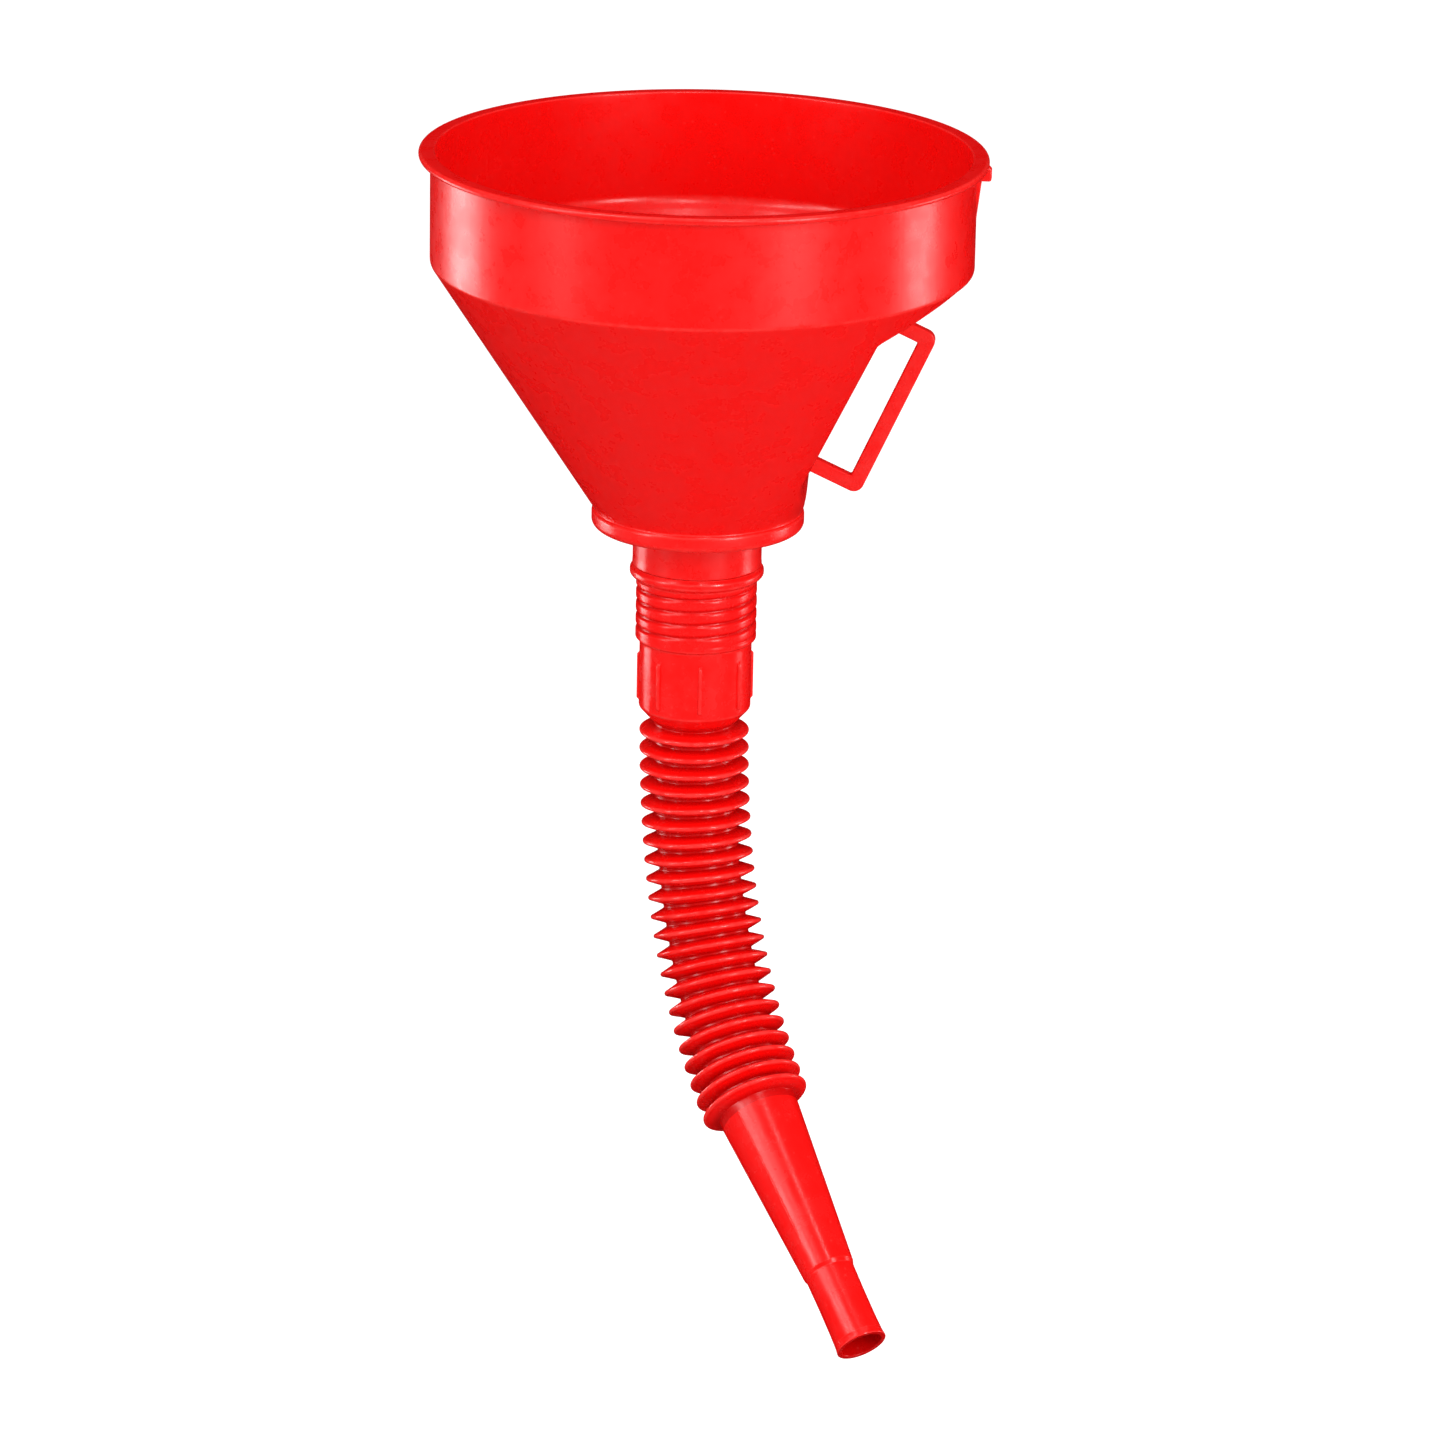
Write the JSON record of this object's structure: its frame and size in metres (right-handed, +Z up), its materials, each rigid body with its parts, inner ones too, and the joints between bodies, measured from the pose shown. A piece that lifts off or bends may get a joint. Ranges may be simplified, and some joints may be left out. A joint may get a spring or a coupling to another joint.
{
  "type": "funnel with flexible spout",
  "caption": "Hand funnel with a wide open bowl, a finger handle, a lift-out strainer and a screw-on bellows spout that bends and stays bent.",
  "frame": {"origin": "centre of the mouth, in the plane of the rim's top face", "axes": "+Z up along the bowl's axis, out of the mouth; +X towards the finger handle; the spout leans towards -Y and +X at rest"},
  "size_m": [0.1607, 0.1718, 0.328],
  "materials": {
    "bowl_plastic": "satin moulded polyethylene",
    "spout_plastic": "satin blow-moulded polyethylene",
    "strainer_plastic": "satin moulded polyethylene",
    "gauze_brass": "woven wire",
    "washer_rubber": "matt"
  },
  "bodies": {
    "bowl": {"funnel_bowl": "bowl_plastic", "finger_handle": "bowl_plastic"},
    "strainer": {"strainer_frame": "strainer_plastic", "strainer_gauze": "gauze_brass"},
    "washer": {"neck_washer": "washer_rubber"},
    "cuff": {"spout_cuff": "spout_plastic"},
    "fold_01": {"bellows_fold_01": "spout_plastic"},
    "fold_02": {"bellows_fold_02": "spout_plastic"},
    "fold_03": {"bellows_fold_03": "spout_plastic"},
    "fold_04": {"bellows_fold_04": "spout_plastic"},
    "fold_05": {"bellows_fold_05": "spout_plastic"},
    "fold_06": {"bellows_fold_06": "spout_plastic"},
    "fold_07": {"bellows_fold_07": "spout_plastic"},
    "fold_08": {"bellows_fold_08": "spout_plastic"},
    "fold_09": {"bellows_fold_09": "spout_plastic"},
    "fold_10": {"bellows_fold_10": "spout_plastic"},
    "fold_11": {"bellows_fold_11": "spout_plastic"},
    "fold_12": {"bellows_fold_12": "spout_plastic"},
    "fold_13": {"bellows_fold_13": "spout_plastic"},
    "fold_14": {"bellows_fold_14": "spout_plastic"},
    "fold_15": {"bellows_fold_15": "spout_plastic"},
    "fold_16": {"bellows_fold_16": "spout_plastic"},
    "fold_17": {"bellows_fold_17": "spout_plastic"},
    "fold_18": {"bellows_fold_18": "spout_plastic"},
    "fold_19": {"bellows_fold_19": "spout_plastic"},
    "fold_20": {"bellows_fold_20": "spout_plastic"},
    "fold_21": {"bellows_fold_21": "spout_plastic"},
    "fold_22": {"bellows_fold_22": "spout_plastic"},
    "nozzle": {"spout_nozzle": "spout_plastic"}
  },
  "joints": [
    {"name": "strainer_lift", "type": "slide", "parent": "bowl", "child": "strainer", "axis": [0, 0, 1], "range_m": [0, 0.125]},
    {"name": "spout_travel", "type": "slide", "parent": "bowl", "child": "washer", "axis": [0, 0, 1], "range_m": [-0.0171, 0]},
    {"name": "spout_turn", "type": "hinge", "parent": "washer", "child": "cuff", "pos_m": [0, 0, -0.14209], "axis": [0, 0, 1], "range_deg": [-1625, 0]},
    {"name": "bend_side_01", "type": "hinge", "parent": "cuff", "child": "fold_01", "pos_m": [0, 0, -0.16759], "axis": [-0.832, -0.5548, 0], "range_deg": [-7.5, 3.3]},
    {"name": "bend_cross_02", "type": "hinge", "parent": "fold_01", "child": "fold_02", "pos_m": [0.00006, -0.00008, -0.17294], "axis": [0.5546, -0.8316, 0.0289], "range_deg": [-5.5, 5.5]},
    {"name": "bend_side_03", "type": "hinge", "parent": "fold_02", "child": "fold_03", "pos_m": [0.00017, -0.00026, -0.17828], "axis": [-0.832, -0.5548, 0], "range_deg": [-7.5, 3.3]},
    {"name": "bend_cross_04", "type": "hinge", "parent": "fold_03", "child": "fold_04", "pos_m": [0.00036, -0.00053, -0.18362], "axis": [0.5533, -0.8296, 0.0748], "range_deg": [-5.5, 5.5]},
    {"name": "bend_side_05", "type": "hinge", "parent": "fold_04", "child": "fold_05", "pos_m": [0.00061, -0.00092, -0.18895], "axis": [-0.832, -0.5548, 0], "range_deg": [-7.5, 3.3]},
    {"name": "bend_cross_06", "type": "hinge", "parent": "fold_05", "child": "fold_06", "pos_m": [0.00096, -0.00144, -0.19427], "axis": [0.5501, -0.8249, 0.1299], "range_deg": [-5.5, 5.5]},
    {"name": "bend_side_07", "type": "hinge", "parent": "fold_06", "child": "fold_07", "pos_m": [0.00139, -0.00208, -0.19956], "axis": [-0.832, -0.5548, 0], "range_deg": [-7.5, 3.3]},
    {"name": "bend_cross_08", "type": "hinge", "parent": "fold_07", "child": "fold_08", "pos_m": [0.00191, -0.00286, -0.20483], "axis": [0.5444, -0.8162, 0.1935], "range_deg": [-5.5, 5.5]},
    {"name": "bend_side_09", "type": "hinge", "parent": "fold_08", "child": "fold_09", "pos_m": [0.00253, -0.0038, -0.21006], "axis": [-0.832, -0.5548, 0], "range_deg": [-7.5, 3.3]},
    {"name": "bend_cross_10", "type": "hinge", "parent": "fold_09", "child": "fold_10", "pos_m": [0.00327, -0.0049, -0.21524], "axis": [0.5351, -0.8023, 0.2647], "range_deg": [-5.5, 5.5]},
    {"name": "bend_side_11", "type": "hinge", "parent": "fold_10", "child": "fold_11", "pos_m": [0.00411, -0.00616, -0.22037], "axis": [-0.832, -0.5548, 0], "range_deg": [-7.5, 3.3]},
    {"name": "bend_cross_12", "type": "hinge", "parent": "fold_11", "child": "fold_12", "pos_m": [0.00506, -0.00759, -0.22544], "axis": [0.5215, -0.7819, 0.3415], "range_deg": [-5.5, 5.5]},
    {"name": "bend_side_13", "type": "hinge", "parent": "fold_12", "child": "fold_13", "pos_m": [0.00613, -0.0092, -0.23043], "axis": [-0.832, -0.5548, 0], "range_deg": [-7.5, 3.3]},
    {"name": "bend_cross_14", "type": "hinge", "parent": "fold_13", "child": "fold_14", "pos_m": [0.00732, -0.01098, -0.23533], "axis": [0.5031, -0.7543, 0.4218], "range_deg": [-5.5, 5.5]},
    {"name": "bend_side_15", "type": "hinge", "parent": "fold_14", "child": "fold_15", "pos_m": [0.00864, -0.01295, -0.24013], "axis": [-0.832, -0.5548, 0], "range_deg": [-7.5, 3.3]},
    {"name": "bend_cross_16", "type": "hinge", "parent": "fold_15", "child": "fold_16", "pos_m": [0.01007, -0.0151, -0.24481], "axis": [0.4795, -0.7189, 0.5032], "range_deg": [-5.5, 5.5]},
    {"name": "bend_side_17", "type": "hinge", "parent": "fold_16", "child": "fold_17", "pos_m": [0.01162, -0.01743, -0.24937], "axis": [-0.832, -0.5548, 0], "range_deg": [-7.5, 3.3]},
    {"name": "bend_cross_18", "type": "hinge", "parent": "fold_17", "child": "fold_18", "pos_m": [0.0133, -0.01994, -0.25379], "axis": [0.4506, -0.6756, 0.5836], "range_deg": [-5.5, 5.5]},
    {"name": "bend_side_19", "type": "hinge", "parent": "fold_18", "child": "fold_19", "pos_m": [0.01509, -0.02262, -0.25806], "axis": [-0.832, -0.5548, 0], "range_deg": [-7.5, 3.3]},
    {"name": "bend_cross_20", "type": "hinge", "parent": "fold_19", "child": "fold_20", "pos_m": [0.01699, -0.02548, -0.26216], "axis": [0.4164, -0.6244, 0.6608], "range_deg": [-5.5, 5.5]},
    {"name": "bend_side_21", "type": "hinge", "parent": "fold_20", "child": "fold_21", "pos_m": [0.01901, -0.0285, -0.26609], "axis": [-0.832, -0.5548, 0], "range_deg": [-7.5, 3.3]},
    {"name": "bend_cross_22", "type": "hinge", "parent": "fold_21", "child": "fold_22", "pos_m": [0.02113, -0.03169, -0.26982], "axis": [0.3774, -0.5658, 0.7331], "range_deg": [-5.5, 5.5]},
    {"name": "bend_side_23", "type": "hinge", "parent": "fold_22", "child": "nozzle", "pos_m": [0.02336, -0.03503, -0.27336], "axis": [-0.832, -0.5548, 0], "range_deg": [-7.5, 3.3]}
  ],
  "couplings": [
    {"joint": "spout_turn", "follows": "spout_travel", "rad_per_m": 1653.5}
  ]
}
